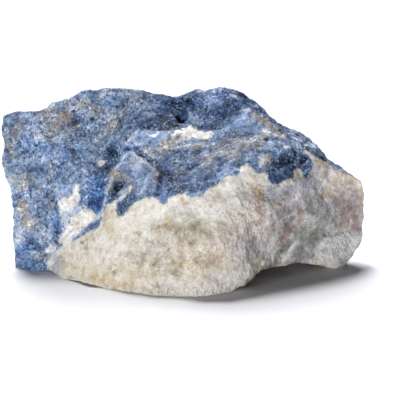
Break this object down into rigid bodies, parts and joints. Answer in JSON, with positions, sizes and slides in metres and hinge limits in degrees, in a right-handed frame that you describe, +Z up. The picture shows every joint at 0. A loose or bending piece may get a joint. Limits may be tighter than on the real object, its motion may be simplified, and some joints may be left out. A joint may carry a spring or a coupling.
{
  "type": "rough lapis lazuli stone",
  "caption": "Broken piece of rough blue stone over a pale matrix, standing on its lower edge; a loose mineral specimen or ornament.",
  "frame": {"origin": "centre of the bounding box, on the surface that the stone stands on", "axes": "+X to the viewer's right along the stone's length, -Y towards the viewer of the pictured side, +Z up"},
  "size_m": [0.0904, 0.0564, 0.0435],
  "materials": {
    "lapis_stone": "rough broken, grainy, blue over a cream-white matrix"
  },
  "bodies": {
    "root": {"rough_lapis_stone": "lapis_stone"}
  },
  "joints": []
}
